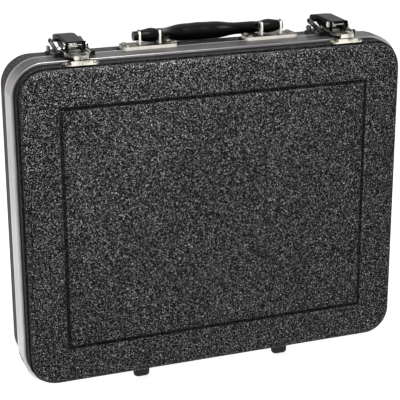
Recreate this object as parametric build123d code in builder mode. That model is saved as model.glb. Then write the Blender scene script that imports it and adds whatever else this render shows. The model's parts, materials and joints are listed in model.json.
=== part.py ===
from build123d import *
from math import acos, atan2, cos, hypot, radians, sin, tan
import os

# Harmonica case: two moulded shells in aluminium valances, hinged along the bottom,
# closed by two draw latches on the top, with a folding carrying handle.
# Millimetres. X runs left to right, Y from the lid (front) to the base (back), Z is up.
# The origin is on the floor, below the middle of the whole with its grip down.

# ---------------------------------------------------------------- driving sizes
# case
case_width = 380.0
case_height = 310.0
corner_radius = 31.0
lid_projection = 16.0          # lid shell in front of its valance
base_projection = 40.0         # base shell behind its valance
valance_depth = 12.0           # each half
foot_height = 10.4             # valance bottom above the floor
origin_setback = 4.3           # origin behind the middle of the shells, for the grip
shell_wall = 2.5

# valances
band_wall = 1.6
lip_wall = 2.4                 # bright rounded edge round the shells
lip_depth = 2.2
lip_round = 0.9
seam_gap = 0.3
web_wall = 1.5
limb_wall = 1.2
lid_web_offset = 2.5           # lid valance front to its web
base_web_offset = 8.5          # base valance rear to its web
base_lip_wall = 2.0
tongue_inset = 4.0
tongue_wall = 1.2
tongue_reach = 3.0
shell_seat_gap = 0.2

# lid shell
lid_inset = 3.2
lid_bead_depth = 9.5
lid_body_inset = 5.2
lid_edge_round = 4.5
lid_bead_round = 1.2

# base shell
base_inset = 2.2
base_draft = 2.0               # degrees
base_edge_round = 10.0
base_inner_round = 7.0
pad_margin = 1.0               # pads under the latches and the handle
pad_sink = 0.6                 # pads below the drafted wall
overcut = 1.0                  # cuts past the faces that they open

# groove pressed into both faces
groove_side_margin = 41.0      # case outline to the groove's middle line
groove_end_margin = 40.5
groove_width = 5.0
groove_depth = 1.7
groove_side_slope = 0.6

# foam
foam_gap = 8.0                 # valance outline to foam
foam_floor_gap = 0.3
base_foam_depth = 34.0
lid_foam_depth = 14.5
foam_round = 8.0
lid_foam_round = 2.5
slot_length = 108.0
slot_width = 22.0
slot_depth = 26.0
slot_pitch = 37.0
slot_rows = 7
slot_column_gap = 14.0
slot_round = 4.0
bay_width = 88.0
bay_height = 244.0

# feet
foot_side_margin = 117.0       # case outline to the foot's middle
foot_width = 16.0
foot_depth = 10.0
lid_foot_setback = 6.7         # behind the lid valance's front edge
foot_corner = 4.8
foot_round = 3.2
base_foot_setback = 24.0       # behind the base valance
foot_pad_inset = 1.0           # pad face inside the case outline
foot_pad_margin = 2.0
foot_recess_radius = 2.5
foot_recess_depth = 5.0
screw_radius = 1.3
screw_head_radius = 2.2
screw_head_height = 1.6
nut_radius = 2.4
nut_height = 1.2

# hinges
hinge_side_margin = 65.0       # case outline to the hinge's middle
hinge_width = 46.0
hinge_leaf = 1.4
hinge_leaf_depth = 10.6
knuckle_radius = 2.9
knuckle_drop = 3.3             # pin below the valance
knuckle_count = 5
knuckle_gap = 0.4
hinge_pin_radius = 1.5
hinge_pin_head_radius = 2.3
hinge_pin_head_length = 0.9
hinge_corner = 2.5
hinge_rivet_spacing = 16.0
hinge_rivet_row = 5.8          # from the seam
running_clearance = 0.06
free_clearance = 0.35

# rivets
rivet_radius = 1.6
rivet_head_radius = 2.8
rivet_head_height = 1.3
rivet_head_taper = 0.6
rivet_tail_radius = 2.1
rivet_tail_height = 0.7

# latches
left_latch_margin = 63.0       # case outline to the latch's middle
right_latch_margin = 58.5
latch_plate_width = 37.2
latch_plate = 1.2
latch_plate_front = 0.8        # behind the seam
latch_plate_rear = 20.0        # behind the base valance
latch_front_rivet_spacing = 20.2
latch_rear_rivet_spacing = 26.8
latch_rivet_front = 6.5        # behind the seam
latch_rivet_rear = 5.4         # ahead of the plate's rear edge
guard_wall = 1.5
guard_inset = 3.7
guard_foot_run = 9.2           # along the plate, where each guard stands on it
toe_width = 5.8                # upturned front corners of the plate
toe_height = 4.2
heel_run = 6.0                 # low rims at the plate's rear corners
heel_radius = 2.8
stop_bar_behind = 34.6         # behind the lever's pivot
stop_bar_height = 8.4
stop_bar_radius = 1.4
stop_boss_radius = 2.4         # round ear of the guard that carries the bar
stop_bar_proud = 0.7
latch_corner = 3.0
latch_ear_wall = 1.5
latch_ear_radius = 1.9
pivot_behind_seam = 0.9
pivot_height = 10.3
latch_pin_radius = 1.2
eyelet_radius = 3.2
eyelet_height = 0.8
lever_width = 18.6
lever_wall = 1.4
lever_front = 3.0              # in front of the pivot
lever_reach = 43.5             # behind the pivot
lever_top_front = 14.0
lever_top_crest = 14.8
lever_top_tip = 12.8
lever_tip_height = 6.5
lever_skirt_bottom = 3.0
lever_skirt_run = 5.0
lever_crest = 31.2             # behind the pivot, where the lever is highest
lever_tab_gap = 1.0            # stop bar to the lever's rear tab
lever_round = 2.2
pin_side_gap = 0.1
link_pivot_behind = 11.0       # behind the lever's pivot
link_pivot_drop = 5.3
link_arm_wall = 1.6
link_arm_gap = 1.2
link_arm_height = 2.6
link_eye_radius = 2.4
link_plate = 1.8
link_plate_height = 2.9
link_bar_ahead = 17.0          # crossbar ahead of the link's pin
link_nose_ahead = 32.5
link_nose_width = 13.0
link_nose_wall = 2.2
link_nose_clearance = 0.35
link_bar_length = 2.6

# keepers
keeper_width = 33.0
keeper_wall = 1.2
keeper_corner = 4.5
keeper_depth = 10.4
keeper_setback = 0.6           # ahead of the valance
keeper_step_width = 20.0
keeper_step_drop = 0.2         # below the valance
keeper_lip_wall = 1.2
keeper_lip_proud = 0.8         # above the valance
keeper_rivet_spacing = 26.4
keeper_rivet_ahead = 4.6

# handle
handle_offset = 8.0            # to the right of the middle
bracket_spacing = 121.0
bracket_width = 52.0
bracket_depth = 20.0
bracket_wall = 3.0
bracket_front = 6.0            # ahead of the base valance's rear edge
bracket_corner = 4.0
bracket_shift = -1.2           # plate's middle to the left of its ears
bracket_rivet_inset = 4.6
bracket_rivet_front = 3.8
bracket_rivet_rows = 12.6
ear_spacing = 19.5
ear_wall = 1.8
ear_width = 9.0
ear_height = 16.2
handle_pivot_height = 10.5
handle_pivot_behind = 5.5      # behind the base valance's rear edge
handle_pin_radius = 2.5
handle_pin_head_radius = 4.4
handle_pin_head_lengths = {"left": 4.5, "right": 1.2}
handle_end_gap = 0.4           # grip to the ears
ear_slot_gap = 0.45
grip_bow = 35.5                # pins to the middle of the grip
grip_middle_half_depth = 8.0
grip_middle_half_height = 8.8
backing_wall = 1.2
backing_margin = 0.6

# the grip's bend: in from its tip, behind the pins, half depth, half height
grip_bend = [
    (0.0, 0.0, 4.6, 4.6),
    (3.9, 0.0, 5.6, 5.6),
    (8.9, 0.6, 6.5, 6.5),
    (12.9, 2.0, 6.9, 6.4),
    (16.9, 5.0, 6.9, 5.4),
    (20.9, 10.0, 6.5, 5.5),
    (25.9, 17.5, 6.3, 5.7),
    (30.9, 24.0, 6.3, 5.7),
    (35.9, 28.5, 6.6, 6.0),
    (42.9, 32.5, 7.2, 7.2),
    (50.9, 34.8, 7.8, 8.3),
]

# ---------------------------------------------------------------- worked-out places
total_depth = lid_projection + 2 * valance_depth + base_projection
front_y = -total_depth / 2 - origin_setback
lid_valance_y = front_y + lid_projection
seam_y = lid_valance_y + valance_depth
base_valance_y = seam_y + valance_depth
back_y = base_valance_y + base_projection
bottom_z = foot_height
top_z = bottom_z + case_height
centre_z = (bottom_z + top_z) / 2
base_slope = tan(radians(base_draft))
latch_centres = {
    "left": left_latch_margin - case_width / 2,
    "right": case_width / 2 - right_latch_margin,
}
bracket_centres = {
    "left": handle_offset - bracket_spacing / 2,
    "right": handle_offset + bracket_spacing / 2,
}
hinge_x = case_width / 2 - hinge_side_margin
hinge_centres = {"left": -hinge_x, "right": hinge_x}
foot_x = case_width / 2 - foot_side_margin
foot_centres = (-foot_x, foot_x)

os.makedirs("parts", exist_ok=True)


def front_plane(y):
    """Plane across the case at y, facing the front; its x is X and its y is up."""
    return Plane(origin=(0, y, centre_z), x_dir=(1, 0, 0), z_dir=(0, -1, 0))


def back_plane(y):
    """The same plane, facing the back."""
    return Plane(origin=(0, y, centre_z), x_dir=(-1, 0, 0), z_dir=(0, 1, 0))


def side_plane(x):
    """Plane at x whose x runs to the back and whose y is up, facing right."""
    return Plane(origin=(x, 0, 0), x_dir=(0, 1, 0), z_dir=(1, 0, 0))


def outline(inset, mode=Mode.ADD):
    """Rounded outline of the case, drawn in by inset, in the sketch under way."""
    RectangleRounded(
        case_width - 2 * inset,
        case_height - 2 * inset,
        corner_radius - inset,
        mode=mode,
    )


def ring(y_start, y_end, inset_outer, inset_inner, mode=Mode.ADD):
    """A band round the case from y_start to y_end, between two insets."""
    with BuildSketch(back_plane(y_start)) as band:
        outline(inset_outer)
        outline(inset_inner, Mode.SUBTRACT)
    extrude(band.sketch, amount=y_end - y_start, mode=mode)


def finish(piece, name):
    """Label a finished piece and write its file."""
    piece.part.label = name
    export_step(piece.part, f"parts/{name}.step")


def base_surface(y):
    """How far the base shell's drafted wall lies inside the case outline at y."""
    return base_inset + base_slope * max(0.0, y - base_valance_y)


# ---------------------------------------------------------------- fastener places
latch_rear_y = base_valance_y + latch_plate_rear
latch_rivet_rows = (
    (latch_front_rivet_spacing, seam_y + latch_rivet_front),
    (latch_rear_rivet_spacing, latch_rear_y - latch_rivet_rear),
)
latch_rivets = [
    (centre + side * spacing / 2, y)
    for centre in latch_centres.values()
    for side in (-1, 1)
    for spacing, y in latch_rivet_rows
]
bracket_front_y = base_valance_y - bracket_front
bracket_middle_y = bracket_front_y + bracket_depth / 2
bracket_rivet_x = bracket_width / 2 - bracket_rivet_inset
bracket_rivet_y = bracket_front_y + bracket_rivet_front
bracket_rivets = [
    (centre + bracket_shift + side * bracket_rivet_x, bracket_rivet_y + row)
    for centre in bracket_centres.values()
    for side in (-1, 1)
    for row in (0, bracket_rivet_rows)
]
keeper_rivets = [
    (centre + side * keeper_rivet_spacing / 2, lid_valance_y - keeper_rivet_ahead)
    for centre in latch_centres.values()
    for side in (-1, 1)
]
hinge_rivet_x = (-hinge_rivet_spacing, 0, hinge_rivet_spacing)
lid_hinge_rivets = [
    (centre + x, seam_y - hinge_rivet_row)
    for centre in hinge_centres.values()
    for x in hinge_rivet_x
]
base_hinge_rivets = [
    (centre + x, seam_y + hinge_rivet_row)
    for centre in hinge_centres.values()
    for x in hinge_rivet_x
]
lid_feet_places = [(x, lid_valance_y + lid_foot_setback) for x in foot_centres]
base_feet_places = [(x, base_valance_y + base_foot_setback) for x in foot_centres]


def drill(points, radius, z_low, z_high):
    """Cut upright round holes at points from z_low to z_high in the part under way."""
    for x, y in points:
        with Locations((x, y, (z_low + z_high) / 2)):
            Cylinder(radius, z_high - z_low, mode=Mode.SUBTRACT)


def add_rivet(x, y, seat_z, grip, facing=1):
    """A rivet with its head on seat_z, facing up (1) or down (-1), and its tail."""
    turn = 0 if facing > 0 else 180
    head_z = seat_z + facing * rivet_head_height / 2
    with Locations(Location((x, y, head_z), (turn, 0, 0))):
        Cone(rivet_head_radius, rivet_head_radius * rivet_head_taper, rivet_head_height)
    with Locations((x, y, seat_z - facing * grip / 2)):
        Cylinder(rivet_radius, grip)
    with Locations((x, y, seat_z - facing * (grip + rivet_tail_height / 2))):
        Cylinder(rivet_tail_radius, rivet_tail_height)


def cut_groove(plane):
    """Press the rectangular groove into a face of the case that lies in plane."""
    half_width = case_width / 2 - groove_side_margin
    half_height = case_height / 2 - groove_end_margin
    with BuildLine(plane) as path:
        Polyline(
            (-half_width, 0),
            (-half_width, half_height),
            (half_width, half_height),
            (half_width, -half_height),
            (-half_width, -half_height),
            close=True,
        )
    start = path.line @ 0
    inward = -plane.z_dir
    across = Plane(origin=start, x_dir=plane.x_dir, z_dir=plane.x_dir.cross(inward))
    half_top = groove_width / 2
    half_floor = groove_width / 2 - groove_depth * groove_side_slope
    with BuildSketch(across) as profile:
        with BuildLine():
            Polyline(
                (-half_top, -overcut),
                (-half_top, 0),
                (-half_floor, groove_depth),
                (half_floor, groove_depth),
                (half_top, 0),
                (half_top, -overcut),
                close=True,
            )
        make_face()
    sweep(
        profile.sketch,
        path=path.line,
        transition=Transition.RIGHT,
        mode=Mode.SUBTRACT,
    )


# ---------------------------------------------------------------- valances
lid_web_y = lid_valance_y + lid_web_offset
lid_limb_inset = lid_inset + shell_wall + shell_seat_gap
with BuildPart() as lid_valance:
    ring(lid_valance_y, seam_y - seam_gap / 2, 0, band_wall)
    ring(lid_valance_y, lid_valance_y + lip_depth, 0, lip_wall)
    ring(lid_web_y, lid_web_y + web_wall, 0, lid_limb_inset + limb_wall)
    ring(lid_valance_y, lid_web_y, lid_limb_inset, lid_limb_inset + limb_wall)
    rim = lid_valance.faces().sort_by(Axis.Y)[0].outer_wire().edges()
    fillet(rim, lip_round)
    drill(lid_feet_places, screw_radius, bottom_z - overcut, bottom_z + band_wall + overcut)
    drill(lid_hinge_rivets, rivet_radius, bottom_z - overcut, bottom_z + band_wall + overcut)
finish(lid_valance, "lid_valance")

base_web_y = base_valance_y - base_web_offset - web_wall
base_limb_inset = base_inset + shell_wall + shell_seat_gap
base_seat_y = base_valance_y - base_web_offset
with BuildPart() as base_valance:
    ring(seam_y + seam_gap / 2, base_valance_y, 0, band_wall)
    ring(base_valance_y - lip_depth, base_valance_y, 0, base_lip_wall)
    ring(base_web_y, base_seat_y, 0, base_limb_inset + limb_wall)
    ring(base_seat_y, base_valance_y, base_limb_inset, base_limb_inset + limb_wall)
    ring(seam_y - tongue_reach, base_web_y, tongue_inset, tongue_inset + tongue_wall)
    rim = base_valance.faces().sort_by(Axis.Y)[-1].outer_wire().edges()
    fillet(rim, lip_round)
    drill(base_hinge_rivets, rivet_radius, bottom_z - overcut, bottom_z + foam_gap)
    drill(latch_rivets + bracket_rivets, rivet_radius, top_z - foam_gap, top_z + overcut)
finish(base_valance, "base_valance")

# ---------------------------------------------------------------- shells
bead_y = lid_valance_y - lid_bead_depth
with BuildPart() as lid_shell:
    with BuildSketch(front_plane(lid_web_y)):
        outline(lid_inset)
    extrude(amount=lid_web_y - bead_y)
    fillet(lid_shell.faces().sort_by(Axis.Y)[0].edges(), lid_bead_round)
    with BuildSketch(front_plane(bead_y)):
        outline(lid_body_inset)
    extrude(amount=bead_y - front_y)
    fillet(lid_shell.faces().sort_by(Axis.Y)[0].edges(), lid_edge_round)
    with BuildSketch(front_plane(lid_web_y)):
        outline(lid_inset + shell_wall)
    extrude(amount=lid_web_y - bead_y - shell_wall, mode=Mode.SUBTRACT)
    with BuildSketch(front_plane(lid_web_y)):
        outline(lid_body_inset + shell_wall)
    extrude(amount=lid_web_y - front_y - shell_wall, mode=Mode.SUBTRACT)
    cut_groove(front_plane(front_y))
    keeper_seat_z = top_z - lid_inset
    keeper_hole_z = keeper_seat_z - shell_wall - overcut
    drill(keeper_rivets, rivet_radius, keeper_hole_z, keeper_seat_z + overcut)
finish(lid_shell, "lid_shell")


def base_body(inset, depth, edge_round):
    """The drafted body of the base, drawn in by inset and rounded at the back."""
    with BuildPart() as body:
        with BuildSketch(back_plane(base_seat_y)):
            outline(inset)
        extrude(amount=base_valance_y - base_seat_y)
        with BuildSketch(back_plane(base_valance_y)):
            outline(inset)
        extrude(amount=depth, taper=base_draft)
        fillet(body.faces().sort_by(Axis.Y)[-1].edges(), edge_round)
    return body.part


latch_pad = (latch_plate_width + 2 * pad_margin, latch_plate_rear + pad_margin)
bracket_pad = (bracket_width + 2 * pad_margin, bracket_depth - bracket_front + pad_margin)
pads = [(x, *latch_pad) for x in latch_centres.values()]
pads += [(x + bracket_shift, *bracket_pad) for x in bracket_centres.values()]
foot_pad_z = bottom_z + foot_pad_inset
base_floor_y = back_y - shell_wall
pad_drop = base_surface(latch_rear_y) + pad_sink
base_outside = base_body(base_inset, base_projection, base_edge_round)
base_inside = base_body(base_inset + shell_wall, base_projection - shell_wall, base_inner_round)
with BuildPart() as base_shell:
    add(base_outside)
    for x, width, length in pads:
        with Locations((x, base_valance_y + length / 2, top_z - pad_drop / 2)):
            Box(width, length, pad_drop)
    for x, y in base_feet_places:
        pad_height = base_surface(y + foot_depth / 2) + pad_sink - foot_pad_inset
        with Locations((x, y, foot_pad_z + pad_height / 2)):
            Box(foot_width + 2 * foot_pad_margin, foot_depth + 2 * foot_pad_margin, pad_height)
    add(base_inside, mode=Mode.SUBTRACT)
    cut_groove(back_plane(back_y))
    drill(latch_rivets + bracket_rivets, rivet_radius, top_z - 2 * foam_gap, top_z + overcut)
    drill(base_feet_places, screw_radius, foot_pad_z - overcut, bottom_z + foam_gap)
    drill(base_hinge_rivets, rivet_radius, bottom_z - overcut, bottom_z + foam_gap)
finish(base_shell, "base_shell")

# ---------------------------------------------------------------- foam
base_foam_back_y = base_floor_y - foam_floor_gap
base_foam_y = base_foam_back_y - base_foam_depth
layout_width = 2 * slot_length + 2 * slot_column_gap + bay_width
slots_x = -layout_width / 2 + slot_length + slot_column_gap / 2
bay_x = layout_width / 2 - bay_width / 2
with BuildPart() as base_foam:
    with BuildSketch(front_plane(base_foam_back_y)):
        outline(foam_gap)
    extrude(amount=base_foam_depth)
    fillet(base_foam.faces().sort_by(Axis.Y)[-1].edges(), foam_round)
    with BuildSketch(front_plane(base_foam_y)):
        with Locations((slots_x, 0)):
            with GridLocations(slot_length + slot_column_gap, slot_pitch, 2, slot_rows):
                RectangleRounded(slot_length, slot_width, slot_round)
        with Locations((bay_x, 0)):
            RectangleRounded(bay_width, bay_height, slot_round)
    extrude(amount=-slot_depth, mode=Mode.SUBTRACT)
finish(base_foam, "base_foam")

lid_foam_front_y = front_y + shell_wall + foam_floor_gap
with BuildPart() as lid_foam:
    with BuildSketch(back_plane(lid_foam_front_y)):
        outline(foam_gap)
    extrude(amount=lid_foam_depth)
    fillet(lid_foam.faces().sort_by(Axis.Y)[-1].edges(), lid_foam_round)
finish(lid_foam, "lid_foam")

# ---------------------------------------------------------------- feet
feet = {
    "lid": (lid_feet_places, bottom_z, bottom_z + band_wall),
    "base": (
        base_feet_places,
        foot_pad_z,
        bottom_z + base_surface(base_feet_places[0][1]) + shell_wall + foam_floor_gap / 2,
    ),
}
for half, (places, seat_z, nut_z) in feet.items():
    with BuildPart() as foot_pair:
        for x, y in places:
            with BuildSketch(Plane.XY.offset(seat_z)) as foot_outline:
                with Locations((x, y)):
                    RectangleRounded(foot_width, foot_depth, foot_corner)
            extrude(foot_outline.sketch, amount=-seat_z)
        fillet(foot_pair.faces().group_by(Axis.Z)[0].edges(), foot_round)
        drill(places, foot_recess_radius, -overcut, foot_recess_depth)
        drill(places, screw_radius, 0, seat_z + overcut)
    finish(foot_pair, f"{half}_feet")

    with BuildPart() as foot_screws:
        for x, y in places:
            with Locations((x, y, foot_recess_depth - screw_head_height / 2)):
                Cylinder(screw_head_radius, screw_head_height)
            with Locations((x, y, (foot_recess_depth + nut_z) / 2)):
                Cylinder(screw_radius, nut_z - foot_recess_depth)
            with Locations((x, y, nut_z + nut_height / 2)):
                Cylinder(nut_radius, nut_height)
    finish(foot_screws, f"{half}_foot_screws")

# ---------------------------------------------------------------- hinges
hinge_z = bottom_z - knuckle_drop
knuckle_pitch = hinge_width / knuckle_count
knuckle_length = knuckle_pitch - knuckle_gap
leaf_near = knuckle_radius + free_clearance


def hinge_leaf_piece(centre, facing, knuckles, bore_radius):
    """One hinge leaf: facing is -1 for the lid's and 1 for the base's."""
    near_y = seam_y + facing * seam_gap / 2
    leaf_length = hinge_leaf_depth - seam_gap / 2
    with BuildPart() as leaf:
        with Locations((centre, near_y + facing * leaf_length / 2, bottom_z - hinge_leaf / 2)):
            Box(hinge_width, leaf_length, hinge_leaf)
        fillet(
            leaf.edges().filter_by(Axis.Z).group_by(Axis.Y)[-1 if facing > 0 else 0],
            hinge_corner,
        )
        for index in range(knuckle_count):
            x = centre + (index - (knuckle_count - 1) / 2) * knuckle_pitch
            if index in knuckles:
                with Locations(Location((x, seam_y, hinge_z), (0, 90, 0))):
                    Cylinder(knuckle_radius, knuckle_length)
            else:
                with Locations((x, seam_y + facing * leaf_near / 2, bottom_z - hinge_leaf / 2)):
                    Box(knuckle_pitch + knuckle_gap, leaf_near, 2 * hinge_leaf, mode=Mode.SUBTRACT)
        with Locations(Location((centre, seam_y, hinge_z), (0, 90, 0))):
            Cylinder(bore_radius, hinge_width + overcut, mode=Mode.SUBTRACT)
        points = lid_hinge_rivets if facing < 0 else base_hinge_rivets
        drill(points, rivet_radius, bottom_z - 2 * hinge_leaf, bottom_z + overcut)
    return leaf


for side, centre in hinge_centres.items():
    base_leaf = hinge_leaf_piece(centre, 1, range(0, knuckle_count, 2), hinge_pin_radius)
    finish(base_leaf, f"{side}_hinge_base_leaf")
    lid_bore = hinge_pin_radius + running_clearance
    lid_leaf = hinge_leaf_piece(centre, -1, range(1, knuckle_count, 2), lid_bore)
    finish(lid_leaf, f"{side}_hinge_lid_leaf")
    with BuildPart() as hinge_pin:
        with Locations(Location((centre, seam_y, hinge_z), (0, 90, 0))):
            Cylinder(hinge_pin_radius, hinge_width)
        for end in (-1, 1):
            x = centre + end * (hinge_width + hinge_pin_head_length) / 2
            with Locations(Location((x, seam_y, hinge_z), (0, 90, 0))):
                Cylinder(hinge_pin_head_radius, hinge_pin_head_length)
    finish(hinge_pin, f"{side}_hinge_pin")

base_sandwich = base_limb_inset + limb_wall
hinge_rivet_sets = {
    "lid": (lid_hinge_rivets, band_wall),
    "base": (base_hinge_rivets, base_sandwich),
}
for half, (points, wall) in hinge_rivet_sets.items():
    with BuildPart() as hinge_rivets:
        for x, y in points:
            add_rivet(x, y, bottom_z - hinge_leaf, hinge_leaf + wall, facing=-1)
    finish(hinge_rivets, f"{half}_hinge_rivets")

# ---------------------------------------------------------------- latches
pivot_y = seam_y + pivot_behind_seam
pivot_z = top_z + pivot_height
link_pin_y = pivot_y + link_pivot_behind
link_pin_z = pivot_z - link_pivot_drop
plate_top_z = top_z + latch_plate
lever_half = lever_width / 2
channel_half = lever_half - lever_wall
ear_outer = channel_half - free_clearance
arm_inner = lever_half + link_arm_gap
arm_outer = arm_inner + link_arm_wall
keeper_back_y = lid_valance_y - keeper_setback
keeper_front_y = keeper_back_y - keeper_depth
keeper_top_z = keeper_seat_z + keeper_wall
keeper_step_z = top_z - keeper_step_drop
nose_front_y = link_pin_y - link_nose_ahead
bar_rear_y = link_pin_y - link_bar_ahead
link_low_z = top_z + link_plate_height


def cross_cylinder(x_low, x_high, y, z, radius, mode=Mode.ADD):
    """A round bar or bore along X in the part under way."""
    with Locations(Location(((x_low + x_high) / 2, y, z), (0, 90, 0))):
        Cylinder(radius, x_high - x_low, mode=mode)


def side_plate(x_low, x_high, points):
    """An upright plate from x_low to x_high with the given outline in Y and Z."""
    with BuildSketch(side_plane(x_low)) as profile:
        with BuildLine():
            Polyline(*points, close=True)
        make_face()
    extrude(profile.sketch, amount=x_high - x_low)


plate_half = latch_plate_width / 2
plate_front_y = seam_y + latch_plate_front
plate_length = latch_rear_y - plate_front_y
heel_y = latch_rear_y - heel_radius
heel_z = top_z + heel_radius
guard_outer = plate_half - guard_inset
stop_bar_y = pivot_y + stop_bar_behind
stop_bar_z = top_z + stop_bar_height
lever_rest_z = stop_bar_z + stop_bar_radius + free_clearance
lever_clear_y = stop_bar_y - stop_bar_radius - free_clearance
lever_tab_y = stop_bar_y + stop_bar_radius + lever_tab_gap
for side, centre in latch_centres.items():
    with BuildPart() as latch_plate_piece:
        with BuildSketch(Plane.XY.offset(top_z)):
            with Locations((centre, (plate_front_y + latch_rear_y) / 2)):
                RectangleRounded(latch_plate_width, plate_length, latch_corner)
        extrude(amount=latch_plate)
        for edge in (-guard_outer, guard_outer - guard_wall):
            x_low = centre + edge
            x_high = x_low + guard_wall
            side_plate(
                x_low,
                x_high,
                [
                    (plate_front_y, top_z),
                    (plate_front_y, top_z + toe_height),
                    (stop_bar_y, stop_bar_z + stop_boss_radius),
                    (stop_bar_y, stop_bar_z - stop_boss_radius),
                    (plate_front_y + guard_foot_run, plate_top_z),
                    (plate_front_y + guard_foot_run, top_z),
                ],
            )
            cross_cylinder(x_low, x_high, stop_bar_y, stop_bar_z, stop_boss_radius)
            cross_cylinder(
                x_low, x_high, stop_bar_y, stop_bar_z, stop_bar_radius, mode=Mode.SUBTRACT
            )
        for end in (-1, 1):
            toe_x = centre + end * (plate_half - toe_width / 2)
            with Locations((toe_x, plate_front_y + guard_wall / 2, top_z + toe_height / 2)):
                Box(toe_width, guard_wall, toe_height)
            heel_x = centre + end * (plate_half - guard_wall / 2)
            with Locations((heel_x, heel_y - heel_run / 2, heel_z)):
                Box(guard_wall, heel_run, 2 * heel_radius)
            cross_cylinder(
                heel_x - guard_wall / 2, heel_x + guard_wall / 2, heel_y, heel_z, heel_radius
            )
        for edge in (-ear_outer, ear_outer - latch_ear_wall):
            x_low = centre + edge
            side_plate(
                x_low,
                x_low + latch_ear_wall,
                [
                    (pivot_y - latch_ear_radius, top_z),
                    (pivot_y - latch_ear_radius, pivot_z),
                    (pivot_y + latch_ear_radius, pivot_z),
                    (pivot_y + 2 * latch_ear_radius, top_z),
                ],
            )
            cross_cylinder(x_low, x_low + latch_ear_wall, pivot_y, pivot_z, latch_ear_radius)
        cross_cylinder(
            centre - ear_outer, centre + ear_outer, pivot_y, pivot_z, latch_pin_radius,
            mode=Mode.SUBTRACT,
        )
        drill(latch_rivets, rivet_radius, top_z - overcut, plate_top_z + overcut)
    finish(latch_plate_piece, f"{side}_latch_plate")

    with BuildPart() as stop_bar:
        bar_end = guard_outer + stop_bar_proud
        cross_cylinder(
            centre - bar_end, centre + bar_end, stop_bar_y, stop_bar_z, stop_bar_radius
        )
    finish(stop_bar, f"{side}_latch_stop_bar")

    with BuildPart() as lever:
        tip_y = pivot_y + lever_reach
        with BuildSketch(side_plane(centre - lever_half)) as lever_side:
            with BuildLine():
                Polyline(
                    (pivot_y - lever_front, pivot_z - lever_front),
                    (pivot_y - lever_front, top_z + lever_top_front),
                    (pivot_y + lever_crest, top_z + lever_top_crest),
                    (tip_y, top_z + lever_top_tip),
                    (tip_y, top_z + lever_tip_height),
                    (lever_tab_y, top_z + lever_tip_height),
                    (lever_tab_y, lever_rest_z),
                    (lever_clear_y, lever_rest_z),
                    (link_pin_y + lever_skirt_run, top_z + lever_skirt_bottom),
                    (link_pin_y - link_eye_radius, top_z + lever_skirt_bottom),
                    close=True,
                )
            make_face()
        extrude(lever_side.sketch, amount=lever_width)
        side_edges = lever.edges().filter_by(Axis.X, reverse=True)
        crest_z = top_z + lever_top_crest
        fillet(side_edges.filter_by_position(Axis.Z, pivot_z + lever_round, crest_z), lever_round)
        with BuildSketch(side_plane(centre - channel_half)) as channel_side:
            with BuildLine():
                Polyline(
                    (pivot_y - 2 * lever_front, top_z),
                    (pivot_y - 2 * lever_front, top_z + lever_top_front - lever_wall),
                    (pivot_y - lever_front, top_z + lever_top_front - lever_wall),
                    (pivot_y + lever_crest, top_z + lever_top_crest - lever_wall),
                    (tip_y - lever_wall, top_z + lever_top_tip - lever_wall),
                    (tip_y - lever_wall, top_z),
                    close=True,
                )
            make_face()
        extrude(channel_side.sketch, amount=2 * channel_half, mode=Mode.SUBTRACT)
        cross_cylinder(
            centre - lever_half, centre + lever_half, pivot_y, pivot_z,
            latch_pin_radius + running_clearance, mode=Mode.SUBTRACT,
        )
        cross_cylinder(
            centre - lever_half, centre + lever_half, link_pin_y, link_pin_z,
            latch_pin_radius, mode=Mode.SUBTRACT,
        )
    finish(lever, f"{side}_latch_lever")

    with BuildPart() as pivot_pin:
        cross_cylinder(
            centre - lever_half - pin_side_gap, centre + lever_half + pin_side_gap,
            pivot_y, pivot_z, latch_pin_radius,
        )
        for end in (-1, 1):
            near = end * (lever_half + pin_side_gap)
            far = end * (lever_half + pin_side_gap + eyelet_height)
            cross_cylinder(
                centre + min(near, far), centre + max(near, far), pivot_y, pivot_z, eyelet_radius
            )
    finish(pivot_pin, f"{side}_latch_pivot_pin")

    with BuildPart() as link_pin:
        cross_cylinder(
            centre - arm_outer - pin_side_gap, centre + arm_outer + pin_side_gap,
            link_pin_y, link_pin_z, latch_pin_radius,
        )
        for end in (-1, 1):
            near = end * (arm_outer + pin_side_gap)
            far = end * (arm_outer + pin_side_gap + eyelet_height)
            cross_cylinder(
                centre + min(near, far), centre + max(near, far),
                link_pin_y, link_pin_z, 2 * latch_pin_radius,
            )
    finish(link_pin, f"{side}_latch_link_pin")

    with BuildPart() as link:
        with BuildSketch(Plane.XY.offset(link_low_z)):
            with BuildLine():
                Polyline(
                    (centre - arm_outer, bar_rear_y),
                    (centre - arm_outer, bar_rear_y - link_bar_length),
                    (centre - link_nose_width / 2, nose_front_y),
                    (centre + link_nose_width / 2, nose_front_y),
                    (centre + arm_outer, bar_rear_y - link_bar_length),
                    (centre + arm_outer, bar_rear_y),
                    close=True,
                )
            make_face()
        extrude(amount=link_plate)
        nose_low_z = keeper_step_z + link_nose_clearance
        nose_height = link_low_z + link_plate - nose_low_z
        with Locations((centre, nose_front_y + link_nose_wall / 2, nose_low_z + nose_height / 2)):
            Box(link_nose_width, link_nose_wall, nose_height)
        for x_low in (centre - arm_outer, centre + arm_inner):
            x_middle = x_low + link_arm_wall / 2
            arm_length = link_pin_y - bar_rear_y + link_bar_length
            arm_y = link_pin_y - arm_length / 2
            with Locations((x_middle, arm_y, link_low_z + link_arm_height / 2)):
                Box(link_arm_wall, arm_length, link_arm_height)
            cross_cylinder(
                x_low, x_low + link_arm_wall, link_pin_y, link_pin_z, link_eye_radius
            )
        cross_cylinder(
            centre - arm_outer, centre + arm_outer, link_pin_y, link_pin_z,
            latch_pin_radius + running_clearance, mode=Mode.SUBTRACT,
        )
    finish(link, f"{side}_latch_link")

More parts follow.
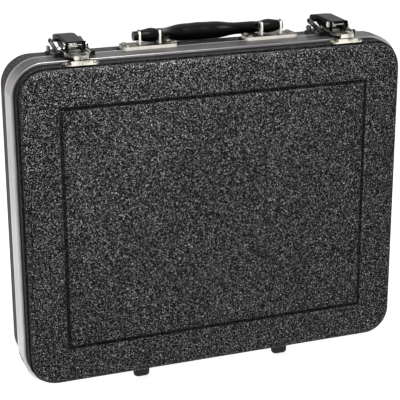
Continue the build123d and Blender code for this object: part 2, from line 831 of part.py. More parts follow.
    with BuildPart() as keeper:
        keeper_middle_y = (keeper_front_y + keeper_back_y) / 2
        with BuildSketch(Plane.XY.offset(keeper_seat_z)):
            with Locations((centre, keeper_middle_y)):
                RectangleRounded(keeper_width, keeper_depth, keeper_corner)
        extrude(amount=keeper_wall)
        with Locations((centre, keeper_middle_y, (keeper_seat_z + keeper_step_z) / 2)):
            Box(keeper_step_width, keeper_depth, keeper_step_z - keeper_seat_z)
        lip_z = top_z + keeper_lip_proud
        with Locations(
            (centre, keeper_front_y + keeper_lip_wall / 2, (keeper_seat_z + lip_z) / 2)
        ):
            Box(keeper_step_width, keeper_lip_wall, lip_z - keeper_seat_z)
        drill(keeper_rivets, rivet_radius, keeper_seat_z - overcut, keeper_top_z + overcut)
    finish(keeper, f"{side}_latch_keeper")

with BuildPart() as latch_rivet_set:
    for x, y in latch_rivets:
        in_valance = y < base_valance_y
        wall = base_sandwich if in_valance else base_surface(y + rivet_tail_radius) + shell_wall
        add_rivet(x, y, plate_top_z, latch_plate + wall)
finish(latch_rivet_set, "latch_rivets")

with BuildPart() as keeper_rivet_set:
    for x, y in keeper_rivets:
        add_rivet(x, y, keeper_top_z, keeper_wall + shell_wall)
finish(keeper_rivet_set, "keeper_rivets")

# ---------------------------------------------------------------- handle
handle_y = base_valance_y + handle_pivot_behind
handle_z = top_z + handle_pivot_height
bracket_top_z = top_z + bracket_wall
backing_top_z = top_z - base_surface(bracket_front_y + bracket_depth) - shell_wall

# the grip rests against the rounding at the back of the base
round_y = back_y - base_edge_round
round_z = top_z - base_surface(round_y) - base_edge_round
away_y = handle_y - round_y
away_z = handle_z - round_z
away = hypot(away_y, away_z)
reach = base_edge_round + grip_middle_half_height + free_clearance
lean = (reach**2 - away**2 - grip_bow**2) / (2 * grip_bow * away)
rest_drop = acos(lean) - atan2(away_z, away_y)

for side, centre in bracket_centres.items():
    outward = -1 if side == "left" else 1
    outer_ear_x = centre + outward * ear_spacing / 2
    inner_ear_x = centre - outward * ear_spacing / 2
    with BuildPart() as bracket:
        with BuildSketch(Plane.XY.offset(top_z)):
            with Locations((centre + bracket_shift, bracket_middle_y)):
                RectangleRounded(bracket_width, bracket_depth, bracket_corner)
        extrude(amount=bracket_wall)
        for ear_x in (outer_ear_x, inner_ear_x):
            x_low = ear_x - ear_wall / 2
            ear_round_z = top_z + ear_height - ear_width / 2
            side_plate(
                x_low,
                x_low + ear_wall,
                [
                    (handle_y - ear_width / 2, top_z),
                    (handle_y - ear_width / 2, ear_round_z),
                    (handle_y + ear_width / 2, ear_round_z),
                    (handle_y + ear_width / 2, top_z),
                ],
            )
            cross_cylinder(x_low, x_low + ear_wall, handle_y, ear_round_z, ear_width / 2)
        cross_cylinder(
            centre - bracket_width / 2, centre + bracket_width / 2, handle_y, handle_z,
            handle_pin_radius, mode=Mode.SUBTRACT,
        )
        drill(bracket_rivets, rivet_radius, top_z - overcut, bracket_top_z + overcut)
    finish(bracket, f"{side}_handle_bracket")

    inner_end = inner_ear_x - outward * ear_wall / 2
    outer_face = outer_ear_x + outward * ear_wall / 2
    head_end = outer_face + outward * handle_pin_head_lengths[side]
    with BuildPart() as handle_pin:
        cross_cylinder(
            min(outer_face, inner_end), max(outer_face, inner_end),
            handle_y, handle_z, handle_pin_radius,
        )
        cross_cylinder(
            min(outer_face, head_end), max(outer_face, head_end),
            handle_y, handle_z, handle_pin_head_radius,
        )
    finish(handle_pin, f"{side}_handle_pin")

grip_tip = bracket_spacing / 2 + ear_spacing / 2 - ear_wall / 2 - handle_end_gap
right_half = [(grip_tip - inward, *rest) for inward, *rest in grip_bend]
left_half = [(-across, *rest) for across, *rest in right_half]
middle = (0.0, grip_bow, grip_middle_half_depth, grip_middle_half_height)
stations = left_half + [middle] + right_half[::-1]
backwards = Vector(0, cos(rest_drop), -sin(rest_drop))
across_axis = Vector(1, 0, 0)
grip_origin = Vector(handle_offset, handle_y, handle_z)
with BuildPart() as grip:
    for index, (across, behind, half_depth, half_height) in enumerate(stations):
        before = stations[max(index - 1, 0)]
        after = stations[min(index + 1, len(stations) - 1)]
        along = across_axis * (after[0] - before[0]) + backwards * (after[1] - before[1])
        inward = across_axis * (before[1] - after[1]) + backwards * (after[0] - before[0])
        section_plane = Plane(
            origin=grip_origin + across_axis * across + backwards * behind,
            x_dir=inward,
            z_dir=along,
        )
        with BuildSketch(section_plane):
            Ellipse(half_depth, half_height)
    loft()
    cross_cylinder(
        handle_offset - grip_tip - overcut, handle_offset + grip_tip + overcut, handle_y, handle_z,
        handle_pin_radius + running_clearance, mode=Mode.SUBTRACT,
    )
    slot_width_x = ear_wall + 2 * ear_slot_gap
    slot_radius = ear_height - handle_pivot_height + 2 * ear_slot_gap
    slot_front = grip_middle_half_depth + ear_width
    slot_depth_y = slot_front + ear_width / 2 + ear_slot_gap
    for side, centre in bracket_centres.items():
        inner_ear_x = centre + (1 if side == "left" else -1) * ear_spacing / 2
        x_low = inner_ear_x - slot_width_x / 2
        cross_cylinder(
            x_low, x_low + slot_width_x, handle_y, handle_z, slot_radius, mode=Mode.SUBTRACT
        )
        slot_middle_y = handle_y - slot_front + slot_depth_y / 2
        with Locations((inner_ear_x, slot_middle_y, handle_z)):
            Box(slot_width_x, slot_depth_y, 4 * grip_middle_half_height, mode=Mode.SUBTRACT)
finish(grip, "handle_grip")

with BuildPart() as backing_plates:
    backing_length = bracket_depth - bracket_front - backing_margin
    backing_middle_y = base_valance_y + backing_margin + backing_length / 2
    for centre in bracket_centres.values():
        middle_x = centre + bracket_shift
        with Locations((middle_x, backing_middle_y, backing_top_z - backing_wall / 2)):
            Box(bracket_width, backing_length, backing_wall)
    backing_low_z = backing_top_z - backing_wall
    drill(bracket_rivets, rivet_radius, backing_low_z - overcut, backing_top_z + overcut)
finish(backing_plates, "handle_backing_plates")

with BuildPart() as handle_rivet_set:
    for x, y in bracket_rivets:
        in_valance = y < base_valance_y
        wall = base_sandwich if in_valance else top_z - backing_top_z + backing_wall
        add_rivet(x, y, bracket_top_z, bracket_wall + wall)
finish(handle_rivet_set, "handle_rivets")
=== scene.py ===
import json
import math

import bmesh
import bpy
from mathutils import Matrix, Vector


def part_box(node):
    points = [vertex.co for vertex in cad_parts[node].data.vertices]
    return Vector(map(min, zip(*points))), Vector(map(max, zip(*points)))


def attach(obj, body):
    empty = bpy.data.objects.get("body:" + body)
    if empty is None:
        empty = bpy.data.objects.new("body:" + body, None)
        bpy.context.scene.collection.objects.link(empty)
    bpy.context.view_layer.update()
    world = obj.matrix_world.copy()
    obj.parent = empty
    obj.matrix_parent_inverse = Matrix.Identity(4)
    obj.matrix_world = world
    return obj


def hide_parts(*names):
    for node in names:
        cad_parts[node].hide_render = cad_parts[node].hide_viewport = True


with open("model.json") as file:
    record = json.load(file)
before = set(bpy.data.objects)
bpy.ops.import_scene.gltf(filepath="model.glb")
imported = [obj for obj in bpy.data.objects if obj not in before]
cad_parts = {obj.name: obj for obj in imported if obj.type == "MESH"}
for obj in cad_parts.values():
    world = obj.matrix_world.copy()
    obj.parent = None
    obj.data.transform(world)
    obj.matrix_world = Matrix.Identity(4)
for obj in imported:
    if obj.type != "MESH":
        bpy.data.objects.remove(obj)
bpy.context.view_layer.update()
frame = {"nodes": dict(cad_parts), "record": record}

MM = 0.001
QUARTER_TURN = math.pi / 2

# planes of the case that the materials are laid out from
shell_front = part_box("lid_shell")[0].y
shell_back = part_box("base_shell")[1].y
MIDDLE_Y = (shell_front + shell_back) / 2
HALF_DEPTH = (shell_back - shell_front) / 2
SEAM_Y = (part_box("lid_valance")[1].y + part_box("base_valance")[0].y) / 2
MIDDLE_Z = (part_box("lid_valance")[0].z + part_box("lid_valance")[1].z) / 2


# ---------------------------------------------------------------- node helpers
class Graph:
    """A node tree under construction, with short calls for the usual nodes."""

    def __init__(self, tree):
        self.nodes = tree.nodes
        self.links = tree.links

    def new(self, kind, **settings):
        node = self.nodes.new(kind)
        for key, value in settings.items():
            setattr(node, key, value)
        return node

    def feed(self, socket, value):
        """A constant or another node's output goes into a socket."""
        if isinstance(value, (int, float, tuple)):
            socket.default_value = value
        else:
            self.links.new(value, socket)

    def math(self, operation, *values):
        node = self.new("ShaderNodeMath", operation=operation)
        for socket, value in zip(node.inputs, values):
            self.feed(socket, value)
        return node.outputs[0]

    def scaled(self, value, low, high):
        """low where the value is 0 and high where it is 1."""
        node = self.new("ShaderNodeMapRange")
        self.feed(node.inputs["Value"], value)
        node.inputs["To Min"].default_value = low
        node.inputs["To Max"].default_value = high
        return node.outputs["Result"]

    def seen(self):
        """1 on rays that show a surface, straight, mirrored or through glass."""
        path = self.new("ShaderNodeLightPath").outputs
        passed_on = self.math("MAXIMUM", path["Is Glossy Ray"], path["Is Transmission Ray"])
        return self.math("MAXIMUM", path["Is Camera Ray"], passed_on)


class Shade(Graph):
    """A node material on object coordinates."""

    def __init__(self, name, roughness):
        self.material = bpy.data.materials.new(name)
        self.material.use_nodes = True
        super().__init__(self.material.node_tree)
        self.shader = self.nodes["Principled BSDF"]
        self.constant("Roughness", roughness)
        self.place = self.nodes.new("ShaderNodeTexCoord").outputs["Object"]

    def constant(self, socket, value):
        self.shader.inputs[socket].default_value = value

    def colour(self, value):
        self.feed(self.shader.inputs["Base Color"], value)

    def rough(self, value):
        self.feed(self.shader.inputs["Roughness"], value)

    def metallic(self, value):
        self.feed(self.shader.inputs["Metallic"], value)

    def bump(self, height, strength, distance):
        node = self.new("ShaderNodeBump")
        self.feed(node.inputs["Height"], height)
        node.inputs["Strength"].default_value = strength
        node.inputs["Distance"].default_value = distance
        self.links.new(node.outputs["Normal"], self.shader.inputs["Normal"])

    def noise(self, scale, detail=2.0, roughness=0.5, distortion=0.0, place=None):
        node = self.new("ShaderNodeTexNoise")
        self.feed(node.inputs["Vector"], self.place if place is None else place)
        node.inputs["Scale"].default_value = scale
        node.inputs["Detail"].default_value = detail
        node.inputs["Roughness"].default_value = roughness
        node.inputs["Distortion"].default_value = distortion
        return node.outputs["Fac"]

    def cells(self, scale):
        """Distance to the middle of the nearest cell."""
        node = self.new("ShaderNodeTexVoronoi")
        self.feed(node.inputs["Vector"], self.place)
        node.inputs["Scale"].default_value = scale
        return node.outputs["Distance"]

    def stretch(self, x, y, z):
        """Object coordinates scaled along each axis."""
        node = self.new("ShaderNodeMapping")
        self.feed(node.inputs["Vector"], self.place)
        node.inputs["Scale"].default_value = (x, y, z)
        return node.outputs["Vector"]

    def ramp(self, value, *stops):
        """Colour ramp: stops are (position, grey or rgb)."""
        node = self.new("ShaderNodeValToRGB")
        self.feed(node.inputs["Fac"], value)
        elements = node.color_ramp.elements
        while len(elements) < len(stops):
            elements.new(0.5)
        for element, (position, colour) in zip(elements, stops):
            element.position = position
            rgb = (colour,) * 3 if isinstance(colour, (int, float)) else colour
            element.color = (*rgb, 1.0)
        return node.outputs["Color"]

    def mix(self, factor, a, b):
        node = self.new("ShaderNodeMix", data_type="RGBA")
        self.feed(node.inputs["Factor"], factor)
        self.feed(node.inputs["A"], a)
        self.feed(node.inputs["B"], b)
        return node.outputs["Result"]

    def times(self, colour, value):
        """A colour scaled by a grey value."""
        node = self.new("ShaderNodeVectorMath", operation="SCALE")
        self.feed(node.inputs[0], colour)
        self.feed(node.inputs["Scale"], value)
        return node.outputs[0]

    def step(self, value, start, end):
        """0 at start and 1 at end, smooth between."""
        node = self.new("ShaderNodeMapRange", interpolation_type="SMOOTHSTEP")
        self.feed(node.inputs["Value"], value)
        node.inputs["From Min"].default_value = start
        node.inputs["From Max"].default_value = end
        return node.outputs["Result"]

    def along(self, axis, vector=None):
        node = self.new("ShaderNodeSeparateXYZ")
        self.feed(node.inputs["Vector"], self.place if vector is None else vector)
        return node.outputs[axis]

    def far_from(self, axis, middle):
        """Distance from a plane across an axis."""
        return self.math("ABSOLUTE", self.math("SUBTRACT", self.along(axis), middle))

    def facing_up(self):
        """The upward share of the surface's own normal."""
        own = self.new("ShaderNodeTexCoord").outputs["Normal"]
        return self.along("Z", own)


# ---------------------------------------------------------------- materials
# distances over which a tone changes (painted shade in the groove and on the bead, and the
# aluminium's polished lip), as (where it starts, where it is full)
GROOVE_FIELD_X = (168.0 * MM, 160.0 * MM)  # from the case's middle inwards
GROOVE_FIELD_Z = (132.0 * MM, 124.0 * MM)
GROOVE_DEPTH = (1.1 * MM, 1.6 * MM)        # below a shell's face
BEAD_DEPTH = (4.2 * MM, 5.6 * MM)          # below a shell's face
LIP_REACH = (10.5 * MM, 11.0 * MM)         # from the seam


def pebbled_shell():
    """Black moulded plastic with a fine, sharp leather-like grain, whose tops are painted light
    as painted highlights and whose hollows are painted dark as painted shade. Painted shade
    also darkens the groove and the bead beside the metal frame."""
    s = Shade("pebbled_shell", roughness=0.45)
    coarse = s.noise(1120.0, detail=1.0, distortion=1.2)
    fine = s.noise(2600.0, detail=1.0)
    height = s.math("MULTIPLY_ADD", fine, 0.35, coarse)

    depth = s.math("SUBTRACT", HALF_DEPTH, s.far_from("Y", MIDDLE_Y))
    field_x = s.step(s.far_from("X", 0.0), *GROOVE_FIELD_X)
    field_z = s.step(s.far_from("Z", MIDDLE_Z), *GROOVE_FIELD_Z)
    field = s.math("MULTIPLY", field_x, field_z)
    groove = s.math("MULTIPLY", field, s.step(depth, *GROOVE_DEPTH))
    # painted shade on the bead beside the metal frame: past the bead depth the colour falls to
    # about a quarter
    bead = s.scaled(s.step(depth, *BEAD_DEPTH), 1.0, 0.24)
    wear = s.scaled(s.noise(7.0), 0.8, 1.2)
    # wear is a random tone; the bead and groove factors multiplied into it are painted shade
    light = s.math("MULTIPLY", wear, bead)
    # painted shade in the groove: the colour there falls to a fifth
    light = s.math("MULTIPLY", light, s.scaled(groove, 1.0, 0.2))

    # painted highlights on the grain's tops and painted shade in its hollows, both put into the
    # colour
    grain_with_painted_glints = s.ramp(height, (0.66, 0.001), (0.73, 0.004), (0.79, 0.03), (0.88, 0.85))
    s.colour(s.times(grain_with_painted_glints, light))
    s.rough(s.scaled(height, 0.6, 0.4))
    s.bump(height, strength=0.8, distance=0.6 * MM)
    s.constant("Specular IOR Level", 0.07)
    return s.material


def satin_aluminium():
    """Satin aluminium: fine lines along the band, painted shade on upward faces (painted dark
    and made non-metallic there), and a polished lip at the outer edges, duller on the base's
    half."""
    s = Shade("satin_aluminium", roughness=0.34)
    lines = s.noise(60.0, detail=3.0, roughness=0.6, place=s.stretch(1.0, 45.0, 1.0))
    tone = s.math("MULTIPLY", lines, s.noise(14.0))
    band = s.ramp(tone, (0.1, (0.30, 0.29, 0.30)), (0.45, (0.50, 0.48, 0.50)))

    upward = s.step(s.facing_up(), 0.35, 0.9)
    base_half = s.step(s.along("Y"), SEAM_Y, SEAM_Y + MM)
    lip = s.step(s.far_from("Y", SEAM_Y), *LIP_REACH)
    lip = s.math("MULTIPLY", lip, s.scaled(base_half, 1.0, 0.35))

    # painted shade: the band's upward faces are painted dark, to under a tenth of their tone
    band_painted_dark_on_top = s.times(band, s.scaled(upward, 1.0, 0.085))
    s.colour(s.mix(lip, band_painted_dark_on_top, (0.95, 0.95, 0.94, 1.0)))
    # painted shade: upward faces away from the lip also lose their metal
    painted_dark_top = s.math("MULTIPLY", upward, s.scaled(lip, 1.0, 0.0))
    s.metallic(s.scaled(painted_dark_top, 1.0, 0.0))
    s.constant("Specular IOR Level", 0.1)
    s.rough(s.scaled(lines, 0.24, 0.38))
    s.bump(lines, strength=0.25, distance=0.08 * MM)
    return s.material


def nickel(name, tint, roughness, top_share_under_painted_shade=0.22, spread=0.6, metal=1.0):
    """Nickel plate with faint polishing marks, and painted shade on upward faces, which keep
    only the given top share of their colour and have that much metal; spread is how far the
    tone varies."""
    low, high = roughness
    s = Shade(name, roughness=low)
    marks = s.noise(900.0, detail=4.0, roughness=0.65)
    cloud = s.noise(130.0)
    dull = tuple(c * (1 - 0.66 * spread) for c in tint)
    # painted shade: upward faces are painted dark and lose their metal, keeping only the top
    # share of both
    upward = s.step(s.facing_up(), 0.45, 0.9)
    painted_top_shade = s.scaled(upward, 1.0, top_share_under_painted_shade)
    s.colour(s.times(s.ramp(cloud, (0.38, dull), (0.6, tint)), painted_top_shade))
    s.metallic(s.scaled(upward, metal, top_share_under_painted_shade))
    s.constant("Specular IOR Level", 0.08)
    s.rough(s.scaled(marks, low, high))
    s.bump(marks, strength=0.12, distance=0.05 * MM)
    return s.material


def moulded_black(name, tone, roughness, grain, depth, gloss):
    """Smooth black plastic, rubber or a black gloss finish. grain is the scale of its very fine
    grain, and depth is how deep that is."""
    s = Shade(name, roughness)
    s.constant("Specular IOR Level", gloss)
    pattern = s.noise(grain, detail=3.0, roughness=0.6)
    s.colour(s.ramp(s.noise(45.0), (0.3, tone * 0.75), (0.7, tone * 1.25)))
    s.rough(s.scaled(pattern, roughness - 0.06, roughness + 0.08))
    s.bump(pattern, strength=0.35, distance=depth)
    return s.material


def foam_cloth():
    """Charcoal open-cell foam with a flocked face."""
    s = Shade("flocked_foam", roughness=0.95)
    pores = s.cells(900.0)
    nap = s.noise(2200.0, detail=3.0, roughness=0.7)
    cloud = s.noise(30.0, detail=3.0)
    tone = s.math("MULTIPLY", pores, s.scaled(cloud, 0.8, 1.2))
    s.colour(s.ramp(tone, (0.1, (0.018, 0.018, 0.02)), (0.7, (0.075, 0.075, 0.082))))
    s.bump(s.math("ADD", pores, nap), strength=0.5, distance=0.5 * MM)
    s.constant("Sheen Weight", 0.25)
    s.constant("Sheen Roughness", 0.5)
    return s.material


finishes = {
    "shell": pebbled_shell(),
    "valance": satin_aluminium(),
    "foam": foam_cloth(),
    "foot": moulded_black("rubber_foot", 0.018, 0.55, 1400.0, 0.1 * MM, gloss=0.3),
    "screw": nickel("zinc_screw", (0.62, 0.62, 0.63), (0.28, 0.45)),
    "rivet": nickel("nickel_rivet", (0.30, 0.27, 0.21), (0.26, 0.42), top_share_under_painted_shade=0.2),
    "latch": nickel(
        "nickel_latch", (0.95, 0.91, 0.80), (0.08, 0.18), top_share_under_painted_shade=0.22, spread=1.25
    ),
    "hinge": nickel("nickel_hinge", (0.72, 0.71, 0.68), (0.24, 0.4)),
    # painted shade leaves the brackets' upward faces nearly black
    "bracket": nickel(
        "nickel_bracket", (1.0, 0.96, 0.86), (0.2, 0.32),
        top_share_under_painted_shade=0.02, spread=0.12, metal=0.45,
    ),
    "grip": moulded_black("moulded_grip", 0.002, 0.32, 900.0, 0.06 * MM, gloss=0.08),
    "handle_pin": moulded_black("painted_pin", 0.004, 0.3, 1200.0, 0.04 * MM, gloss=0.1),
}
lever_black_finish = moulded_black("lever_black_finish", 0.002, 0.22, 700.0, 0.02 * MM, gloss=0.02)
plate_black_finish = moulded_black("plate_black_finish", 0.005, 0.24, 700.0, 0.02 * MM, gloss=0.18)

# the latches' slot is nickel, but their levers, plates and stop bars get a black gloss finish
slot_of = {part["node"]: part["material_slot"] for part in frame["record"]["subparts"]}
for name, node in frame["nodes"].items():
    finish = finishes[slot_of[name]]
    if name.endswith("latch_lever"):
        finish = lever_black_finish
    if name.endswith(("latch_plate", "latch_stop_bar")):
        finish = plate_black_finish
    node.data.materials.clear()
    node.data.materials.append(finish)


# ---------------------------------------------------------------- mesh helpers
def add_piece(name, mesh, work, finish, body):
    """The mesh gets a bmesh's faces and becomes a smooth piece that rides on a body."""
    bmesh.ops.recalc_face_normals(work, faces=work.faces)
    work.to_mesh(mesh)
    work.free()
    mesh.materials.append(finishes[finish])
    for face in mesh.polygons:
        face.use_smooth = True
    piece = bpy.data.objects.new(name, mesh)
    bpy.context.scene.collection.objects.link(piece)
    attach(piece, body)
    return piece


def add_faces(name, verts, faces, finish, body):
    """A piece from points and faces in the row frame."""
    mesh = bpy.data.meshes.new(name)
    mesh.from_pydata(verts, [], faces)
    work = bmesh.new()
    work.from_mesh(mesh)
    return add_piece(name, mesh, work, finish, body)


def rounded_loop(centre, half, radius, steps):
    """Points of a rounded rectangle in X and Z, anticlockwise from the right."""
    points = []
    for index, (sx, sz) in enumerate(((1, 1), (-1, 1), (-1, -1), (1, -1))):
        cx = centre[0] + sx * (half[0] - radius)
        cz = centre[1] + sz * (half[1] - radius)
        for step in range(steps + 1):
            angle = QUARTER_TURN * (index + step / steps)
            points.append((cx + radius * math.cos(angle), cz + radius * math.sin(angle)))
    return points


def rounded_edge(radius, steps=5):
    """A rounded edge from the face to the side, as (inset, drop below the face)."""
    for step in range(steps + 1):
        angle = QUARTER_TURN * step / steps
        yield radius * (1 - math.sin(angle)), radius * (1 - math.cos(angle))


def shrunk(half, inset):
    return half[0] - inset, half[1] - inset


def box_in_x_and_z(low, high):
    """Middle and half size of a box, as pairs in X and Z."""
    middle = ((high.x + low.x) / 2, (high.z + low.z) / 2)
    return middle, ((high.x - low.x) / 2, (high.z - low.z) / 2)


FOAM_CORNER = 23.0 * MM

# ---------------------------------------------------------------- foam of the base
SLOT = (108.0 * MM, 22.0 * MM)
SLOT_COLUMNS = 2
SLOT_ROWS = 7
SLOT_PITCH = 37.0 * MM
COLUMN_GAP = 14.0 * MM
BAY = (88.0 * MM, 244.0 * MM)
POCKET_DEPTH = 26.0 * MM
POCKET_CORNER = 4.0 * MM
POCKET_RIM = 2.6 * MM        # rounding of a pocket's rim
POCKET_SLACK = 0.2 * MM      # rim inside the CAD pocket
POCKET_FILLET = 1.2 * MM     # floor inside the CAD pocket
BLOCK_ROUND = 3.0 * MM       # rounding of the block's open edge
BLOCK_WAIST = 0.8 * MM       # how far the sides pull in
CORNER_STEPS = 8
POCKET_STEPS = 6


def pocket_plan():
    """Middle and half size of each pocket: the slots, then the open bay."""
    low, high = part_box("base_foam")
    middle_z = (low.z + high.z) / 2
    layout = SLOT_COLUMNS * (SLOT[0] + COLUMN_GAP) + BAY[0]
    pockets = []
    for column in range(SLOT_COLUMNS):
        x = -layout / 2 + SLOT[0] / 2 + column * (SLOT[0] + COLUMN_GAP)
        for row in range(SLOT_ROWS):
            z = middle_z + (row - (SLOT_ROWS - 1) / 2) * SLOT_PITCH
            pockets.append(((x, z), (SLOT[0] / 2, SLOT[1] / 2)))
    pockets.append(((layout / 2 - BAY[0] / 2, middle_z), (BAY[0] / 2, BAY[1] / 2)))
    return pockets


def pocketed_block(name, node, body):
    """The base foam: a block open to the front, with softened edges, sides that pull in
    a little, and pockets with rounded rims."""
    low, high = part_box(node)
    middle, half = box_in_x_and_z(low, high)
    work = bmesh.new()

    def loop(centre, size, radius, y, steps=POCKET_STEPS):
        return [work.verts.new((x, y, z)) for x, z in rounded_loop(centre, size, radius, steps)]

    def pairs(ring):
        return zip(ring, ring[1:] + ring[:1])

    def bridge(rings):
        for first, second in zip(rings, rings[1:]):
            for (a, b), (c, d) in zip(pairs(first), pairs(second)):
                work.faces.new((a, b, d, c))

    def side_loop(inset, y):
        return loop(middle, shrunk(half, inset), FOAM_CORNER - inset, y, CORNER_STEPS)

    sides = [side_loop(inset, low.y + drop) for inset, drop in rounded_edge(BLOCK_ROUND)]
    straight = high.y - low.y - BLOCK_ROUND
    for share, pull in ((0.35, 0.6), (0.6, 1.0), (0.85, 0.5), (1.0, 0.0)):
        sides.append(side_loop(BLOCK_WAIST * pull, low.y + BLOCK_ROUND + straight * share))
    bridge(sides)
    work.faces.new(list(reversed(sides[-1])))

    rims = [sides[0]]
    for centre, size in pocket_plan():
        rings = [
            loop(centre, shrunk(size, POCKET_SLACK - grow), POCKET_CORNER + grow, low.y + drop)
            for grow, drop in rounded_edge(POCKET_RIM)
        ]
        wall = POCKET_DEPTH - POCKET_RIM
        for share, pull in ((0.5, 1.0), (0.85, 0.4)):
            y = low.y + POCKET_RIM + wall * share
            rings.append(loop(centre, shrunk(size, POCKET_SLACK * pull), POCKET_CORNER, y))
        floor = shrunk(size, POCKET_FILLET)
        y = low.y + POCKET_DEPTH
        rings.append(loop(centre, floor, POCKET_CORNER - POCKET_FILLET, y))
        bridge(rings)
        work.faces.new(rings[-1])
        rims.append(rings[0])
    edges = [work.edges.get(pair) for ring in rims for pair in pairs(ring)]
    bmesh.ops.triangle_fill(work, use_beauty=True, use_dissolve=False, edges=edges)

    piece = add_piece(name, bpy.data.meshes.new(name), work, "foam", body)
    for face in piece.data.polygons:
        face.use_smooth = len(face.vertices) <= 4    # the floors and the back stay flat
    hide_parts(node)


pocketed_block("base_foam_insert", "base_foam", "case_base")


# ---------------------------------------------------------------- foam of the lid
WAVE_PITCH = 26.0 * MM
WAVE_SWING = 4.2 * MM
PAD_EDGE = 6.0 * MM          # rounding of the pad's open edge
PAD_CELLS = (112, 92)        # across and up


def wavy_pad(name, node, body):
    """Egg-crate foam: rounded peaks on a slab, inside the CAD block."""
    low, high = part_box(node)
    middle, half = box_in_x_and_z(low, high)
    core = shrunk(half, FOAM_CORNER)
    across, up = PAD_CELLS

    def held_in(x, z):
        """A point and its distance from the rounded outline. One that lies outside is
        pulled in to it, so that the grid's rim is the outline."""
        dx = abs(x) - core[0]
        dz = abs(z) - core[1]
        reach = math.hypot(max(dx, 0.0), max(dz, 0.0))
        gap = FOAM_CORNER - reach - min(max(dx, dz), 0.0)
        if gap < 0:
            x = math.copysign(core[0] + max(dx, 0.0) * FOAM_CORNER / reach, x)
            z = math.copysign(core[1] + max(dz, 0.0) * FOAM_CORNER / reach, z)
        return x, z, max(gap, 0.0)

    verts = []
    index = {}
    for j in range(up + 1):
        for i in range(across + 1):
            x, z, gap = held_in((2 * i / across - 1) * half[0], (2 * j / up - 1) * half[1])
            ripples = [math.cos(2 * math.pi * way / WAVE_PITCH) for way in (x, z)]
            wave = 0.5 + 0.25 * sum(ripples)
            shoulder = min(gap / PAD_EDGE, 1.0)
            fall = 1 - math.sqrt(max(0.0, 1 - (1 - shoulder) ** 2))
            y = high.y - WAVE_SWING * (1 - wave) - fall * PAD_EDGE
            index[i, j] = len(verts)
            verts.append((middle[0] + x, y, middle[1] + z))
    faces = [
        (index[i, j], index[i + 1, j], index[i + 1, j + 1], index[i, j + 1])
        for j in range(up)
        for i in range(across)
    ]

    rim = [index[i, 0] for i in range(across)]
    rim += [index[across, j] for j in range(up)]
    rim += [index[i, up] for i in range(across, 0, -1)]
    rim += [index[0, j] for j in range(up, 0, -1)]
    count = len(rim)
    floor = [len(verts) + k for k in range(count)]
    verts += [(verts[r][0], low.y, verts[r][2]) for r in rim]
    for k in range(count):
        following = (k + 1) % count
        faces.append((rim[k], rim[following], floor[following], floor[k]))
    faces.append(tuple(floor))

    piece = add_faces(name, verts, faces, "foam", body)
    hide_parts(node)


wavy_pad("lid_foam_pad", "lid_foam", "lid")


# ---------------------------------------------------------------- crimps of the valances
CRIMP_COUNT = 34             # at each corner
CRIMP_FIRST = 6.0            # degrees
CRIMP_SWEEP = 78.0           # degrees
CRIMP_BEND = 31.0 * MM       # radius of the corner
CRIMP_HALF_WIDTH = 0.3 * MM
CRIMP_PROUD = 0.22 * MM
CRIMP_SUNK = 0.05 * MM
CRIMP_TAPER = 0.5 * MM       # run-out at each end
CRIMP_ARC = 5                # points over a rib
CRIMP_INNER = 2.6 * MM       # ends, from the valance's outer edge
CRIMP_OUTER = 11.0 * MM


def crimps(name, node, y_low, y_high, body):
    """Fine ribs across a valance where the extrusion was bent round its corners."""
    low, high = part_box(node)
    rows = (
        (y_low, 0.0),
        (y_low + CRIMP_TAPER, CRIMP_PROUD),
        (y_high - CRIMP_TAPER, CRIMP_PROUD),
        (y_high, 0.0),
    )
    verts = []
    faces = []
    corners = [(sx, sz) for sx in (-1, 1) for sz in (-1, 1)]
    for (sx, sz), k in ((corner, k) for corner in corners for k in range(CRIMP_COUNT)):
        angle = math.radians(CRIMP_FIRST + CRIMP_SWEEP * k / (CRIMP_COUNT - 1))
        out = Vector((sx * math.cos(angle), 0, sz * math.sin(angle)))
        side = Vector((-sx * math.sin(angle), 0, sz * math.cos(angle)))
        bend_z = high.z - CRIMP_BEND if sz > 0 else low.z + CRIMP_BEND
        centre = Vector((sx * (high.x - CRIMP_BEND), 0, bend_z)) + out * CRIMP_BEND
        base = len(verts)
        for y, proud in rows:
            for step in range(CRIMP_ARC):
                turn = math.pi * step / (CRIMP_ARC - 1)
                point = centre + side * (CRIMP_HALF_WIDTH * math.cos(turn))
                point = point + out * (proud * math.sin(turn) - CRIMP_SUNK)
                verts.append((point.x, y, point.z))
        starts = [base + CRIMP_ARC * row for row in range(len(rows))]
        for a in (start + step for start in starts[:-1] for step in range(CRIMP_ARC - 1)):
            faces.append((a, a + 1, a + CRIMP_ARC + 1, a + CRIMP_ARC))
        for a in starts[:-1]:
            faces.append((a, a + CRIMP_ARC, a + 2 * CRIMP_ARC - 1, a + CRIMP_ARC - 1))
        faces.append(tuple(starts[0] + s for s in reversed(range(CRIMP_ARC))))
        faces.append(tuple(starts[-1] + s for s in range(CRIMP_ARC)))
    add_faces(name, verts, faces, "valance", body)


lid_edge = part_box("lid_valance")[0].y
base_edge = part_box("base_valance")[1].y
crimps(
    "lid_valance_crimps", "lid_valance", lid_edge + CRIMP_INNER, lid_edge + CRIMP_OUTER, "lid"
)
crimps(
    "base_valance_crimps", "base_valance",
    base_edge - CRIMP_OUTER, base_edge - CRIMP_INNER, "case_base",
)

# ---------------------------------------------------------------- floor, light, camera
FLOOR_HALF = 6.0
FLOOR_GLOW = 0.9             # only where the floor is seen
WORLD_SEEN = 1.0
WORLD_LIGHT = 0.07           # what the world gives as light
WHITE = (1, 1, 1, 1)


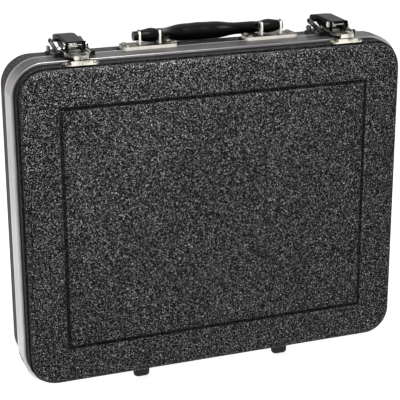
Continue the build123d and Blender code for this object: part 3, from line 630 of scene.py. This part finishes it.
def stage_floor():
    """A plain pale floor that keeps the shadow and is seen near white."""
    mesh = bpy.data.meshes.new("floor")
    signs = ((-1, -1), (1, -1), (1, 1), (-1, 1))
    corners = [(sx * FLOOR_HALF, sy * FLOOR_HALF, 0) for sx, sy in signs]
    mesh.from_pydata(corners, [], [(0, 1, 2, 3)])
    s = Shade("pale_floor", roughness=0.9)
    s.colour(s.ramp(s.noise(3.0, detail=1.0), (0.3, 0.86), (0.7, 0.9)))
    glow = s.new("ShaderNodeEmission")
    glow.inputs["Color"].default_value = WHITE
    glow.inputs["Strength"].default_value = FLOOR_GLOW
    total = s.new("ShaderNodeAddShader")
    s.feed(total.inputs[0], s.shader.outputs[0])
    s.feed(total.inputs[1], glow.outputs[0])
    choose = s.new("ShaderNodeMixShader")
    s.feed(choose.inputs[0], s.seen())
    s.feed(choose.inputs[1], s.shader.outputs[0])
    s.feed(choose.inputs[2], total.outputs[0])
    s.feed(s.nodes["Material Output"].inputs["Surface"], choose.outputs[0])
    mesh.materials.append(s.material)
    floor = bpy.data.objects.new("floor", mesh)
    bpy.context.scene.collection.objects.link(floor)


stage_floor()

scene = bpy.context.scene
world = bpy.data.worlds.new("studio")
scene.world = world
world.use_nodes = True
sky = Graph(world.node_tree)
background = sky.nodes["Background"]
background.inputs["Color"].default_value = WHITE
sky.feed(background.inputs["Strength"], sky.scaled(sky.seen(), WORLD_LIGHT, WORLD_SEEN))


def softbox(name, place, target, size, power):
    """A rectangular area light that is aimed at a point."""
    light = bpy.data.lights.new(name, "AREA")
    light.shape = "RECTANGLE"
    light.size, light.size_y = size
    light.energy = power
    lamp = bpy.data.objects.new(name, light)
    bpy.context.scene.collection.objects.link(lamp)
    lamp.location = place
    aim = Vector(target) - Vector(place)
    lamp.rotation_euler = aim.to_track_quat("-Z", "Y").to_euler()


softbox("key", (-0.07, -0.30, 0.70), (0, 0, 0.25), size=(0.32, 0.18), power=4.0)
softbox("top", (0.1, 0.4, 1.8), (0, 0, 0.2), size=(1.2, 0.8), power=6)
softbox("fill", (-1.5, -0.9, 0.7), (0, 0, 0.15), size=(0.6, 0.8), power=1.8)

# the camera that was solved from the photo's outlines
FOCAL_PIXELS = 1319.3632
PHOTO_PIXELS = 400
SENSOR = 36.0
CAMERA_PLACE = (-0.42199812, -1.1372205, 0.57719186)
camera = bpy.data.cameras.new("camera")
camera.lens = FOCAL_PIXELS / PHOTO_PIXELS * SENSOR
camera.sensor_width = SENSOR
view = bpy.data.objects.new("camera", camera)
scene.collection.objects.link(view)
right = Vector((0.93795164, -0.34674513, -0.00381154))
down = Vector((-0.11498275, -0.30062295, -0.94678657))
ahead = Vector((0.3271478, 0.88847828, -0.3218395))
turn = Matrix((right, -down, -ahead)).transposed()
view.matrix_world = Matrix.Translation(CAMERA_PLACE) @ turn.to_4x4()
scene.camera = view

scene.view_settings.view_transform = "Standard"
